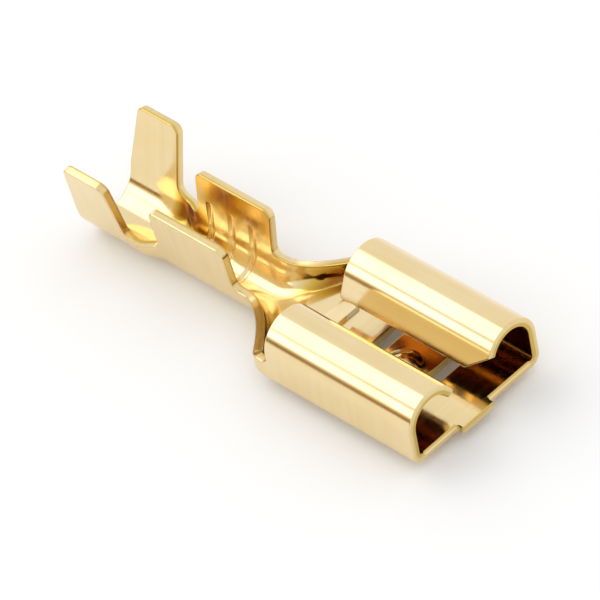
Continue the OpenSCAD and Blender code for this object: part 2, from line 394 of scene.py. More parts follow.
@dataclass(frozen=True)
class Receptacle:
    """The floor and the two curls that hold the blade."""

    length: float = 8.35
    width: float = 7.7
    height: float = 3.2
    curl_r: float = 1.44
    turn: float = math.radians(155.0)
    gap: float = 0.88
    corner: float = 0.55
    rear_round: float = 0.15
    mouth_round: float = 0.12
    lead_len: float = 1.2
    lead_rise: float = 0.85
    slot_w: float = 0.7
    slot_len: float = 4.0
    slot_round: float = 0.1
    front_slot: float = 2.65
    rear_slot: float = 5.85
    dimple_r: float = 0.85
    dimple_h: float = 0.28
    dimple_soft: float = 0.06
    dimple_end: float = 1.5
    dimple_mesh: float = 1.15
    dimple_lines: int = 40
    stop_at: float = 8.05
    stop_h: float = 0.18
    stop_w: float = 2.8
    stop_ramp: float = 1.0
    stop_face: float = 0.015
    stop_side: float = 0.03
    stop_lines: tuple[float, ...] = (-0.07, -0.02, 0.02, 0.07)
    side_lines: tuple[float, ...] = (-0.08, -0.03, 0.03, 0.08)
    tab_w: float = 1.9
    tab_len: float = 0.35
    tab_shift: float = 0.3
    tab_round: float = 0.11
    drawn_foot: Span = (0.0, 0.5)
    drawn_rear: Span = (0.0, 0.3)

    @property
    def floor_half(self) -> float:
        """Half width of the flat floor, between the bends."""
        return self.width / 2.0 - self.corner

    @property
    def dimple_at(self) -> float:
        """Distance of the dimple's middle from the mouth."""
        return (self.front_slot + self.rear_slot) / 2.0

    def edge(self, fold: Fold) -> list[Corner]:
        """Lays out one curl of the flat blank, its tip cut back to lead the blade in.

        Args:
            fold: the folds of the blank.

        Returns:
            The curl's corners, from rear to front.
        """
        t, cut = fold.t, fold.tip - self.lead_rise / -math.cos(self.turn)
        return [
            (t.x.curl, fold.tip, self.rear_round),
            (t.x.mouth - self.lead_len, fold.tip, self.mouth_round),
            (t.x.mouth, cut, self.mouth_round),
        ]

    def tab(self, x_mouth: float) -> list[Corner]:
        """Lays out the stub of the carrier strip.

        Args:
            x_mouth: station of the mouth.

        Returns:
            The stub's corners.
        """
        near, far = -self.tab_shift - self.tab_w / 2.0, -self.tab_shift + self.tab_w / 2.0
        x, r = x_mouth + self.tab_len, self.mouth_round
        return [(x_mouth, near, r), (x, near, self.tab_round), (x, far, self.tab_round), (x_mouth, far, r)]

    def slots(self, x_mouth: float) -> list[list[Corner]]:
        """Lays out the two relief slots, clockwise, so that their rims face into the holes.

        Args:
            x_mouth: station of the mouth.

        Returns:
            The corners of each slot.
        """
        s, r = self.slot_len / 2.0, self.slot_round
        found = []
        for from_mouth in (self.front_slot, self.rear_slot):
            x0 = x_mouth - from_mouth - self.slot_w / 2.0
            x1 = x0 + self.slot_w
            found.append([(x0, -s, r), (x0, s, r), (x1, s, r), (x1, -s, r)])
        return found

    def dome(self, r: Array | float) -> Array:
        """Height of the dimple's dome, softened where it meets the floor.

        Args:
            r: distances from the dimple's middle.

        Returns:
            The height at each distance.
        """
        dome_r = (self.dimple_r**2 + self.dimple_h**2) / (2.0 * self.dimple_h)
        dome = np.sqrt(np.maximum(dome_r**2 - r**2, 0.0)) - (dome_r - self.dimple_h)
        return (dome + np.sqrt(dome**2 + self.dimple_soft**2)) / 2.0

    def rise(self, back: Array, s: Array) -> Array:
        """How far the dimple and the blade stop raise the floor.

        Args:
            back: distances behind the mouth.
            s: distances across the sheet.

        Returns:
            The rise at each point.
        """
        r = np.hypot(back - self.dimple_at, s)
        rim = self.dimple_r * self.dimple_end
        dimple = np.where(r < rim, self.dome(r) - self.dome(rim), 0.0)
        behind = back - self.stop_at
        ramp = within(behind, -self.stop_face, self.stop_face) * (1.0 - within(behind, 0.0, self.stop_ramp))
        side = 1.0 - beyond(np.abs(s), self.stop_w / 2.0, (-self.stop_side, self.stop_side))
        return np.maximum(dimple, 0.0) + self.stop_h * ramp * side

    def lines(self, x_mouth: float) -> tuple[list[float], list[float]]:
        """Mesh lines that the dimple and the blade stop need.

        Args:
            x_mouth: station of the mouth.

        Returns:
            Their stations, and their distances across the sheet.
        """
        stop, dimple = x_mouth - self.stop_at, x_mouth - self.dimple_at
        along = [stop + gap for gap in self.stop_lines]
        along += list(np.linspace(dimple - self.dimple_mesh, dimple + self.dimple_mesh, self.dimple_lines))
        return along, [self.stop_w / 2.0 + gap for gap in self.side_lines]

    def drawn(self, fold: Fold, place: Array) -> Array:
        """Where the curling tool has drawn lines along the terminal.

        Args:
            fold: the folds of the blank.
            place: places in the flat blank.

        Returns:
            1 on the curls, fading out at their foot and at their rear edge.
        """
        foot = fold.tip - fold.tip_run - fold.curl_len
        rear = beyond(place[:, 0], fold.t.x.curl, self.drawn_rear)
        return beyond(np.abs(place[:, 1]), foot, self.drawn_foot) * rear


class Stations(NamedTuple):
    """Where each stretch begins along the terminal, from the wire end to the mouth."""

    grip: float
    notch: float
    wire: float
    neck: float
    flare: float
    shoulder: float
    curl: float
    mouth: float


@dataclass(frozen=True)
class Terminal:
    """All sub-assemblies of the terminal, in one flat blank."""

    sheet: Sheet = Sheet()
    grip: InsulationGrip = InsulationGrip()
    notch: Notch = Notch()
    wire: WireBarrel = WireBarrel()
    neck: Neck = Neck()
    mouth: Receptacle = Receptacle()

    @property
    def parts(self) -> tuple[InsulationGrip, Notch, WireBarrel, Neck, Receptacle]:
        """The sub-assemblies, from the wire end to the mouth."""
        return (self.grip, self.notch, self.wire, self.neck, self.mouth)

    @property
    def x(self) -> Stations:
        """Adds up the lengths, with the whole terminal centred on the origin.

        Returns:
            The stations.
        """
        neck, rear = self.neck, -(sum(part.length for part in self.parts) + self.mouth.tab_len) / 2.0
        barrels = (self.grip.length, self.notch.length, self.wire.length)
        lengths = (*barrels, neck.waist, neck.flare, neck.shoulder, self.mouth.length)
        return Stations(*accumulate(lengths, initial=rear))

    def blank(self, fold: Fold) -> list[Array]:
        """Lays out the flat blank.

        Args:
            fold: the folds of the blank.

        Returns:
            Points of the outline, anticlockwise from the inner side, and of each slot, clockwise.
        """
        side = [corner for part in self.parts for corner in part.edge(fold)]
        whole = [*reversed(side), *((x, -s, r) for x, s, r in side), *self.mouth.tab(self.x.mouth)]
        return [Outline(corners).points() for corners in (whole, *self.mouth.slots(self.x.mouth))]


# ---- the folds


class Fold:
    """Carries points of the flat blank into the folded terminal.

    A point is given by its station x, its distance s across the sheet from the middle line, and
    its height n over the sheet's middle surface, positive on the inner side.
    """

    STEP = 1e-3  # distance over which slopes are taken
    FACE_STEP = 4e-3  # the same, for faces with pressed forms
    TIP_BACK = 1.0  # distance behind the mouth, inside the receptacle, where the tips are measured

    def __init__(self, sizes: Terminal) -> None:
        """Works out the lengths of the curls.

        Args:
            sizes: the terminal's sizes.
        """
        self.t = sizes
        m = sizes.mouth
        self.half_t = sizes.sheet.thickness / 2.0
        self.curl_z = sizes.neck.drop + m.height - m.curl_r
        self.wall_len = self.curl_z - sizes.neck.drop - m.corner
        self.curl_mid = m.curl_r - self.half_t
        self.curl_len = self.curl_mid * m.turn
        tip_z = sizes.neck.drop + sizes.sheet.thickness + m.gap
        reach = m.curl_r - sizes.sheet.thickness
        self.tip_run = (self.curl_z + reach * math.sin(m.turn) - tip_z) / -math.cos(m.turn)

    def half_width(self, x: Array) -> Array:
        """Half width over the outer faces, from the barrels to the mouth.

        Args:
            x: stations.

        Returns:
            The half width at each station.
        """
        t = self.t
        round_r = mix(t.grip.outer_r, t.wire.outer_r, ease(within(x, t.x.notch, t.x.wire)))
        opening = t.mouth.width / 2.0 - t.wire.outer_r
        share = np.maximum((x - t.x.flare) / t.neck.flare, 0.0)
        over = opening * (share**t.neck.bias - 1.0)
        flared = (t.mouth.width + over - np.sqrt(over**2 + t.neck.rounding**2)) / 2.0
        return round_r + flared - t.wire.outer_r

    def section(self, x: Array) -> dict[str, Array]:
        """Fold sizes of the cross-section at each station.

        Args:
            x: stations.

        Returns:
            Floor half length, bend radii across and up, lean, bend centre height and lengths.
        """
        t = self.t
        back = within(x, t.x.notch, t.x.wire)
        half = self.half_width(x)
        slope = (self.half_width(x + self.STEP) - self.half_width(x - self.STEP)) / (2 * self.STEP)
        stretch = np.sqrt(1.0 + slope**2)
        round_r = mix(t.grip.outer_r, t.wire.outer_r, ease(back))
        spread = np.clip((half - round_r) / (t.mouth.width / 2.0 - t.wire.outer_r), 0.0, 1.0)
        bend_r = mix(round_r, t.mouth.corner, spread)
        lean = mix(t.grip.lean, t.wire.lean, ease(back)) * (1.0 - spread)
        under = t.neck.drop * ease(within(x, t.x.flare, t.x.shoulder))
        up = bend_r - self.half_t
        across = up * stretch
        sweep = np.pi / 2.0 - lean
        return {
            "floor": np.maximum(half - bend_r * stretch, 0.0),
            "across": across,
            "up": up,
            "lean": lean,
            "stretch": stretch,
            "centre_z": under + bend_r,
            "sweep": sweep,
            "bend": (across + up) / 2.0 * sweep,
        }

    def at(self, x: float) -> dict[str, float]:
        """The cross-section's fold sizes at one station."""
        return {label: float(value[0]) for label, value in self.section(np.array([x])).items()}

    def middle(self, x: Array, s: Array) -> Array:
        """Places points of the sheet's middle surface.

        Args:
            x: stations.
            s: distances across the sheet.

        Returns:
            An array of points.
        """
        p = self.section(x)
        a = np.abs(s)
        turn = np.clip((a - p["floor"]) / p["bend"], 0.0, 1.0) * p["sweep"] - np.pi / 2.0
        y = np.minimum(a, p["floor"]) + p["across"] * np.cos(turn)
        z = p["centre_z"] + p["up"] * np.sin(turn)
        rest = np.maximum(a - p["floor"] - p["bend"], 0.0)
        wall = np.where(x < self.t.x.shoulder, rest, np.minimum(rest, self.wall_len))
        along = p["stretch"] * np.tan(p["lean"])
        norm = np.hypot(along, 1.0)
        y = y + wall * along / norm
        z = z + wall / norm
        theta = np.clip(rest - wall, 0.0, self.curl_len) / self.curl_mid
        y = y + self.curl_mid * (np.cos(theta) - 1.0)
        z = z + self.curl_mid * np.sin(theta)
        tip = np.maximum(rest - wall - self.curl_len, 0.0)
        y = y - tip * np.sin(theta)
        z = z + tip * np.cos(theta)
        return np.stack([x, np.where(s < 0, -y, y), z], axis=-1)

    def normal(self, x: Array, s: Array, n: Array | None = None) -> Array:
        """Takes the normals of the sheet from its slopes.

        Args:
            x: stations.
            s: distances across the sheet.
            n: heights of a face with its pressed forms, or nothing for the plain middle surface.

        Returns:
            Unit normals, pointing to the inner side.
        """

        def spot(along: Array, across: Array) -> Array:
            """Places points of the surface."""
            return self.middle(along, across) if n is None else self.place(along, across, n)

        h = self.STEP if n is None else self.FACE_STEP
        return unit(np.cross(spot(x + h, s) - spot(x - h, s), spot(x, s + h) - spot(x, s - h)))

    def place(self, x: Array, s: Array, n: Array) -> Array:
        """Places points at a height over the middle surface, pressed forms included."""
        rise = self.t.mouth.rise(self.t.x.mouth - x, s)
        return self.middle(x, s) + self.normal(x, s) * (n + rise)[:, None]

    def across_at(self, x: float, z: float) -> float:
        """Finds where a barrel's or the neck's wall reaches a height.

        Args:
            x: station.
            z: height over the terminal's lowest point, on the straight part of the wall.

        Returns:
            The distance across the sheet.
        """
        p = self.at(x)
        foot = p["centre_z"] - p["up"] * math.sin(p["lean"])
        return p["floor"] + p["bend"] + (z - foot) * math.hypot(p["stretch"] * math.tan(p["lean"]), 1.0)

    def wall_foot(self, x: float) -> float:
        """Height at which the straight wall's outer face begins at a station."""
        p = self.at(x)
        return p["centre_z"] - (p["up"] + self.half_t) * math.sin(p["lean"])

    @property
    def tip(self) -> float:
        """Distance across the sheet of the curls' tips."""
        p = self.at(self.t.x.mouth - self.TIP_BACK)
        return p["floor"] + p["bend"] + self.wall_len + self.curl_len + self.tip_run


# ---- the flat blank


@dataclass(frozen=True)
class Outline:
    """A closed line over the developed sheet, with rounded corners."""

    corners: list[Corner]
    spacing: float = 0.07
    arc_length: float = 0.05
    arc_turn: float = 0.3
    edge_share: float = 0.48
    straight: float = math.radians(88.0)

    def arc(self, before: Corner, corner: Corner, after: Corner) -> list[Array]:
        """Rounds one corner.

        Args:
            before: the corner before it.
            corner: the corner itself.
            after: the corner after it.

        Returns:
            Points along the rounding, or the corner alone where it is sharp or the line is straight.
        """
        here, radius = np.array(corner[:2]), corner[2]
        back, onward = np.array(before[:2]) - here, np.array(after[:2]) - here
        a, b = unit(back), unit(onward)
        half = math.acos(float(np.clip(a @ b, -1.0, 1.0))) / 2.0
        if radius <= 0.0 or half > self.straight:
            return [here]
        room = self.edge_share * min(np.linalg.norm(back), np.linalg.norm(onward))
        cut = min(radius / math.tan(half), room)
        r = cut * math.tan(half)
        centre = here + (a + b) / np.linalg.norm(a + b) * r / math.sin(half)
        start, end = here + a * cut - centre, here + b * cut - centre
        first = math.atan2(start[1], start[0])
        sweep = (math.atan2(end[1], end[0]) - first + math.pi) % (2 * math.pi) - math.pi
        steps = max(3, int(abs(sweep) * r / self.arc_length), int(abs(sweep) / self.arc_turn))
        angles = (first + sweep * k / steps for k in range(steps + 1))
        return [centre + r * np.array([math.cos(angle), math.sin(angle)]) for angle in angles]

    def points(self) -> Array:
        """Rounds the corners and spaces points evenly along the outline.

        Returns:
            An array of points, the last not repeating the first.
        """
        around = zip(self.corners[-1:] + self.corners, self.corners, self.corners[1:] + self.corners[:1])
        raw = [point for trio in around for point in self.arc(*trio)]
        dense: list[Array] = []
        for here, onward in zip(raw, raw[1:] + raw[:1]):
            steps = max(1, int(math.ceil(float(np.linalg.norm(onward - here)) / self.spacing)))
            dense += [here + (onward - here) * k / steps for k in range(steps)]
        return np.array(dense)


def inside(points: Array, loop: Array) -> Array:
    """Even-odd test of points against a closed loop.

    Args:
        points: the points to test.
        loop: the loop's points.

    Returns:
        True for each point that lies inside.
    """
    x, y = points[:, 0], points[:, 1]
    result = np.zeros(len(points), bool)
    for (xa, ya), (xb, yb) in zip(loop, np.roll(loop, -1, axis=0)):
        if ya != yb:
            result ^= ((ya > y) != (yb > y)) & (x < (xb - xa) * (y - ya) / (yb - ya) + xa)
    return result


def between(points: Array, rings: list[Array]) -> Array:
    """True for each point inside the first ring and outside all the others."""
    return inside(points, rings[0]) & ~np.any([inside(points, hole) for hole in rings[1:]], axis=0)


# ---- the folded sheet


@dataclass(frozen=True)
class PaintedShade:
    """Painted shade: the brass is darkened inside the curls, on the neck's walls, in the notch and along
    the rounded inner edge, standing in for the shade and dark reflections there.

    A span is a soft edge, from its start to its end, measured from the line that it goes with.
    """

    curl_foot: Span = (-0.5, 0.1)
    curl_rear: Span = (-0.2, 0.6)
    tip_reach: float = 0.3
    tip_share: float = 0.7
    neck_ends: Span = (0.7, -0.9)
    neck_fade: Span = (0.0, 0.5)
    neck_wall: Span = (0.1, 0.45)
    neck_brim: Span = (1.4, 1.6)
    brim_share: float = 0.5
    notch_rear: Span = (-0.2, 0.35)
    notch_fade: Span = (0.0, 0.9)
    notch_floor: Span = (0.55, 0.85)
    notch_top: Span = (1.7, 2.4)
    depth: Span = (0.0, 0.1)
    # painted shade: how dark the gold line painted along the rounded inner edge is
    edge_shade_line: float = 0.4
    edge_shade_reach: float = 1.1
    edge_shade_clear: float = 1e-4

    def over(self, fold: Fold, place: Array, height: Array) -> Array:
        """Spreads the painted shade over the sheet.

        Args:
            fold: the folds of the blank.
            place: places in the flat blank.
            height: heights over the terminal's lowest point.

        Returns:
            How deep the painted shade is at each point, from 0 to 1.
        """
        t, x, a, n = fold.t, place[:, 0], np.abs(place[:, 1]), place[:, 2]
        bend = fold.tip - fold.tip_run
        curls = beyond(a, bend - fold.curl_len - fold.wall_len, self.curl_foot)
        curls *= beyond(x, t.x.curl, self.curl_rear)
        curls *= 1.0 - self.tip_share * within(a, bend - self.tip_reach, fold.tip)
        neck = within(x, t.x.flare + self.neck_ends[0], t.x.shoulder + self.neck_ends[1])
        neck *= 1.0 - beyond(x, t.x.curl, self.neck_fade)
        neck *= beyond(a, fold.section(x)["floor"], self.neck_wall)
        neck *= 1.0 - self.brim_share * within(height, *self.neck_brim)
        notch = beyond(x, t.x.notch, self.notch_rear) * (1.0 - beyond(x, t.x.wire, self.notch_fade))
        notch *= within(height, *self.notch_floor) * (1.0 - within(height, *self.notch_top))
        # painted shade inside the curls, on the neck's walls and in the notch, on the inner side only
        dark = np.clip(curls + neck + notch, 0.0, 1.0) * within(n, *self.depth)
        # painted dark gold line along the rounded inner edge, standing in for its dark reflection
        edge_shade_band = (n > fold.half_t - t.sheet.burr_side * self.edge_shade_reach) & (n < fold.half_t - self.edge_shade_clear)
        return np.where(edge_shade_band, self.edge_shade_line, dark)


class FoldedSheet:
    """Meshes the blank flat, folds it and closes its cut edges."""

    GRID_X = 0.12
    GRID_S = 0.1
    CLEAR = 0.45  # share of the spacing that even lines and points keep from special lines and rims
    CHUNK = 200  # rim points set against the grid at a time
    WELD = 1e-7
    SLIVER = 1e-9
    REACH = 0.004  # distance over which the direction across a rim is taken
    MITRE = 0.5  # least cosine with which an offset is kept wide round a corner
    ON_LINE = 0.02  # how near to the mouth's line a point of it lies
    BEND_CLEAR = 0.05  # what the bevel keeps from the bends

    def __init__(self, sizes: Terminal) -> None:
        """Prepares the folds, the blank and the edges that are coined to a bevel.

        Args:
            sizes: the terminal's sizes.
        """
        self.t = sizes
        self.fold = Fold(sizes)
        self.loops = sizes.blank(self.fold)
        self.outs = [self.outward(loop) for loop in self.loops]
        self.coins = [self.coined(loop) for loop in self.loops]
        self.patches: list[tuple[Array, ...]] = []  # points, normals, flat places and bite of each
        self.faces: list[Array] = []

    def outward(self, loop: Array) -> Array:
        """Directions out of the sheet along a loop, scaled so that an offset keeps its width.

        Args:
            loop: the loop's points, with the sheet on their left.

        Returns:
            One direction for each point.
        """
        ahead = unit(np.roll(loop, -1, axis=0) - loop)
        right = np.stack([ahead[:, 1], -ahead[:, 0]], axis=1)
        mean = unit(right + np.roll(right, 1, axis=0))
        return mean / np.maximum((mean * right).sum(axis=1, keepdims=True), self.MITRE)

    def coined(self, loop: Array) -> Array:
        """True for each point on the bevel that the press has coined: the mouth edge of the floor."""
        edge, floor = np.abs(loop[:, 0] - self.t.x.mouth) < self.ON_LINE, self.t.mouth.floor_half
        return edge & (np.abs(loop[:, 1]) < floor - self.BEND_CLEAR)

    def lines(self, start: float, end: float, spacing: float, special: list[float]) -> Array:
        """Evenly spaced lines that give way to special ones.

        Args:
            start: first line.
            end: last line.
            spacing: distance between the lines.
            special: lines that must be there.

        Returns:
            The sorted lines.
        """
        even = np.linspace(start, end, int(round((end - start) / spacing)) + 1)
        gap = np.abs(even[:, None] - np.array(special)).min(axis=1)
        return np.array(sorted([*even[gap > spacing * self.CLEAR], *special]))

    def grid(self) -> Array:
        """Lays inner points of the flat mesh, on lines that follow the serrations and pressed forms.

        Returns:
            An array of points.
        """
        t = self.t
        along, across = t.mouth.lines(t.x.mouth)
        xs = self.lines(t.x.grip, t.x.mouth, self.GRID_X, t.wire.lines(t) + along)
        half = self.lines(0.0, self.fold.tip, self.GRID_S, across)
        gx, gs = np.meshgrid(xs, np.concatenate([-half[::-1], half[1:]]), indexing="ij")
        return np.stack([gx.ravel(), gs.ravel()], axis=1)

    def flat_mesh(self, rings: list[Array]) -> tuple[Array, Array]:
        """Meshes one face of the blank between its rings.

        Args:
            rings: the face's own outline and holes.

        Returns:
            The points, rings first, and the triangles.
        """
        grid = self.grid()
        grid = grid[between(grid, rings)]
        border = np.concatenate(rings)
        near = np.full(len(grid), np.inf)
        for chunk in np.array_split(border, max(1, len(border) // self.CHUNK)):
            gap = np.hypot(*(grid[:, None] - chunk[None]).transpose(2, 0, 1))
            near = np.minimum(near, gap.min(axis=1))
        points = np.concatenate([border, grid[near > self.GRID_S * self.CLEAR]])
        edges, base = [], 0
        for ring in rings:
            n = len(ring)
            edges += [(base + i, base + (i + 1) % n) for i in range(n)]
            base += n
        out = delaunay_2d_cdt([Vector(p) for p in points], edges, [], 0, self.WELD)
        where = np.array([origin[0] if origin else -1 for origin in out[3]])
        if (where < 0).any():
            raise ValueError("the blank's outline crosses itself")
        tris = where[np.array(out[2])]
        tris = tris[between(points[tris].mean(axis=1), rings)]
        a, b, c = (points[tris[:, i]] for i in range(3))
        area = (b[:, 0] - a[:, 0]) * (c[:, 1] - a[:, 1]) - (b[:, 1] - a[:, 1]) * (c[:, 0] - a[:, 0])
        tris[area < 0] = tris[area < 0][:, ::-1]
        return points, tris[np.abs(area) > self.SLIVER]

    def add(self, x: Array, s: Array, n: Array, normal: Array, bite: Array | None = None) -> Array:
        """Folds a patch of the flat blank into place.

        Args:
            x: stations.
            s: distances across the sheet.
            n: heights over the middle surface.
            normal: unit normals of the points.
            bite: how fully the serrations bite, where they do.

        Returns:
            The points' numbers.
        """
        base = sum(len(patch[0]) for patch in self.patches)
        bite = np.zeros(len(x)) if bite is None else bite
        self.patches.append((self.fold.place(x, s, n), normal, np.stack([x, s, n], axis=1), bite))
        return base + np.arange(len(x))

    def skin(self, insets: list[Array | float], sign: float) -> Array:
        """Adds the inner or the outer face of the sheet.

        Args:
            insets: how far the face stays behind each loop.
            sign: 1 for the inner face, -1 for the outer one.

        Returns:
            The numbers of its points, rings first.
        """
        rings = [loop - out * inset for loop, out, inset in zip(self.loops, self.outs, insets)]
        points, tris = self.flat_mesh(rings)
        x, s = points[:, 0], points[:, 1]
        n = np.full(len(x), sign * self.fold.half_t)
        bite = self.t.wire.bite(self.fold, x, s) if sign > 0 else None
        ids = self.add(x, s, n, self.fold.normal(x, s, n) * sign, bite)
        self.faces.append(ids[tris if sign > 0 else tris[:, ::-1]])
        return ids

    def rows(self, coin: Array, reach: Array) -> list[tuple[Array, Array, Array, Array]]:
        """Lays the rows of the cut edge: round or bevel, sheared wall, then roll-in.

        Args:
            coin: where the inner edge is a bevel.
            reach: how far the round or the bevel reaches.

        Returns:
            Inset, height, and outward and upward share of the normal, for each row.
        """
        sheet, half = self.t.sheet, self.fold.half_t
        steps, ones = sheet.edge_steps, np.ones(len(coin))
        found = []
        for k in range(1, steps + 1):
            a, bevel = math.pi / 2.0 * k / steps, k / steps
            inset = reach * np.where(coin, 1.0 - bevel, 1.0 - math.sin(a))
            drop = reach * np.where(coin, bevel, 1.0 - math.cos(a))
            tilt = np.where(coin, math.pi / 4.0, a)
            found.append((inset, half - drop, np.sin(tilt), np.cos(tilt)))
        top, low = found[-1][1], -half + sheet.roll_in
        found += [(0.0 * ones, mix(top, low, share), ones, 0.0 * ones) for share in sheet.wall_rows]
        for k in range(steps):
            a = math.pi / 2.0 * k / steps
            inset, level = sheet.roll_in * (1.0 - math.cos(a)), low - sheet.roll_in * math.sin(a)
            found.append((inset * ones, level * ones, math.cos(a) * ones, -math.sin(a) * ones))
        return found

    def rim(self, inner: Array, outer: Array, widths: list[Array]) -> None:
        """Closes the cut edges between the two faces.

        Args:
            inner: numbers of the inner face's points.
            outer: numbers of the outer face's points.
            widths: reach of the round or bevel along each loop.
        """
        fold, loop, out = self.fold, np.concatenate(self.loops), np.concatenate(self.outs)
        ids = [inner]
        for inset, level, out_w, up_w in self.rows(np.concatenate(self.coins), np.concatenate(widths)):
            x, s = (loop - out * inset[:, None]).T
            dx, ds = (unit(out) * self.REACH).T
            up = fold.normal(x, s)
            away = fold.middle(x + dx, s + ds) - fold.middle(x - dx, s - ds)
            away = unit(away - up * (away * up).sum(axis=1, keepdims=True))
            ids.append(self.add(x, s, level, away * out_w[:, None] + up * up_w[:, None]))
        ids.append(outer)
        start = 0
        for part in self.loops:
            here = start + np.arange(len(part))
            after = np.roll(here, -1)
            for top, low in zip(ids, ids[1:]):
                self.faces.append(np.stack([top[here], low[here], low[after], top[after]], axis=1))
            start += len(part)

    def build(self, name: str) -> bpy.types.Object:
        """Builds the folded sheet as one closed mesh.

        Args:
            name: the object's name.

        Returns:
            The new object, in place at the origin.
        """
        sheet = self.t.sheet
        widths = [np.where(coin, sheet.coined, sheet.burr_side) for coin in self.coins]
        inner = self.skin([width[:, None] for width in widths], 1.0)
        outer = self.skin([sheet.roll_in] * len(self.loops), -1.0)
        self.rim(inner, outer, widths)
        points, normals, place, bite = (np.concatenate(part) for part in zip(*self.patches))
        mesh = bpy.data.meshes.new(name)
        faces = [face for part in self.faces for face in part.tolist()]
        mesh.from_pydata((points * MM).tolist(), [], faces, shade_flat=False)
        marks = {
            "sheet_normal": normals,
            "blank_place": place * MM,
            "bite": bite,
            "drawn": self.t.mouth.drawn(self.fold, place),
            # painted shade: darker brass in the hollows and along the rounded inner edge
            "painted_shade": PaintedShade().over(self.fold, place, points[:, 2]),
        }
        for label, values in marks.items():
            kind, slot = ("FLOAT_VECTOR", "vector") if values.ndim == 2 else ("FLOAT", "value")
            mesh.attributes.new(label, kind, "POINT").data.foreach_set(slot, values.ravel())
        cut = mesh.attributes.new("cut_face", "BOOLEAN", "FACE")
        cut.data.foreach_set("value", [len(face) == 4 for face in faces])
        return linked(name, mesh)


# ---- finishes


class BrassTone(Enum):
    """Tones of the strip's brass, as linear colours, with the two tones of painted shade last."""

    BRIGHT = (0.875, 0.705, 0.405, 1.0)
    DEEP = (0.78, 0.575, 0.245, 1.0)
    SHEARED = (0.84, 0.66, 0.35, 1.0)
    TORN = (0.72, 0.52, 0.22, 1.0)
    # painted shade: gold and dark brown, towards which the hollows and the inner edge line are darkened
    SHADE_GOLD = (0.62, 0.42, 0.07, 1.0)
    SHADE_BROWN = (0.31, 0.115, 0.02, 1.0)


# painted shade: the tones that the painted shade mask blends the colour towards, in turn
SHADE_TONES = (BrassTone.SHADE_GOLD, BrassTone.SHADE_BROWN)
BLEND_INPUTS = {"FLOAT": (0, 2, 3), "RGBA": (0, 6, 7)}  # a mix node's share, start and end
BLEND_OUTPUT = {"FLOAT": 0, "RGBA": 2}
ACROSS_STRIP = (1.0, 0.05, 0.4)  # squeezes noise into the lines that the rolls leave
ALONG_CURL = (0.03, 1.0, 0.4)  # squeezes it into the lines that the curling tool draws
LINE_DETAIL, DRIFT_DETAIL = 3.0, 2.0


class NodeBench:
    """Makes and links nodes in one tree."""

    def __init__(self, tree: bpy.types.NodeTree) -> None:
        """Keeps the nodes and links of the tree to work on."""
        self.nodes, self.links = tree.nodes, tree.links

    def node(self, kind: str, given: dict | None = None, **settings: object) -> bpy.types.Node:
        """Makes a node.

        Args:
            kind: the node's type.
            given: input values or sockets, by the input's name or number.
            settings: the node's own properties.

        Returns:
            The new node.
        """
        made = self.nodes.new(kind)
        for key, value in settings.items():
            setattr(made, key, value)
        for label, value in (given or {}).items():
            self.feed(made.inputs[label], value)
        return made

    def feed(self, socket: Socket, value: object) -> None:
        """Links a socket into an input, or sets its value.

        Args:
            socket: the input.
            value: a socket or a plain value.
        """
        if isinstance(value, Socket):
            self.links.new(value, socket)
        else:
            socket.default_value = value

    def math(self, kind: str, *values: object) -> Socket:
        """Makes a math node.

        Args:
            kind: the operation.
            values: numbers or sockets.

        Returns:
            Its output.
        """
        made = self.node("ShaderNodeMath", operation=kind)
        for socket, value in zip(made.inputs, values):
            self.feed(socket, value)
        return made.outputs[0]

    def blend(self, kind: str, share: object, start: object, end: object) -> Socket:
        """Makes a mix node, of the kind FLOAT or RGBA, and gives its output."""
        given = dict(zip(BLEND_INPUTS[kind], (share, start, end)))
        return self.node("ShaderNodeMix", given, data_type=kind).outputs[BLEND_OUTPUT[kind]]

    def spread(self, value: Socket, source: Span, target: Span = (0.0, 1.0), **settings: object) -> Socket:
        """Makes a node that maps one range on another, and gives its output."""
        ends = dict(zip(("From Min", "From Max", "To Min", "To Max"), (*source, *target)))
        return self.node("ShaderNodeMapRange", {"Value": value, **ends}, **settings).outputs[0]


def group(name: str, kind: str, inputs: dict[str, str], outputs: dict[str, str]) -> bpy.types.NodeTree:
    """Starts a node group.

    Args:
        name: the group's name.
        kind: the type of its tree.
        inputs: socket types by input name.
        outputs: socket types by output name.

    Returns:
        The group with its sockets.
    """
    tree = bpy.data.node_groups.new(name, kind)
    for way, sockets in (("INPUT", inputs), ("OUTPUT", outputs)):
        for label, sort in sockets.items():
            tree.interface.new_socket(label, in_out=way, socket_type=f"NodeSocket{sort}")
    return tree


def rolling_marks() -> bpy.types.NodeTree:
    """Node group: fine lines from the rolls, draw lines along the curls, and slow colour drift.

    Returns:
        The group, fed with the place in the flat blank.
    """
    inputs = {"Place": "Vector", "Drawn": "Float", "Line Scale": "Float", "Drift Scale": "Float"}
    tree = group("RollingMarks", "ShaderNodeTree", inputs, {"Height": "Float", "Drift": "Float"})
    bench = NodeBench(tree)
    given = bench.node("NodeGroupInput").outputs
    heights = []
    for stretch in (ACROSS_STRIP, ALONG_CURL):
        squeeze = bench.node("ShaderNodeVectorMath", {0: given["Place"], 1: stretch}, operation="MULTIPLY")
        scale = {"Vector": squeeze.outputs[0], "Scale": given["Line Scale"], "Detail": LINE_DETAIL}
        heights.append(bench.node("ShaderNodeTexNoise", scale).outputs["Fac"])
    height = bench.blend("FLOAT", given["Drawn"], *heights)
    scale = {"Vector": given["Place"], "Scale": given["Drift Scale"], "Detail": DRIFT_DETAIL}
    drift = bench.node("ShaderNodeTexNoise", scale).outputs["Fac"]
    bench.node("NodeGroupOutput", {"Height": height, "Drift": drift})
    return tree


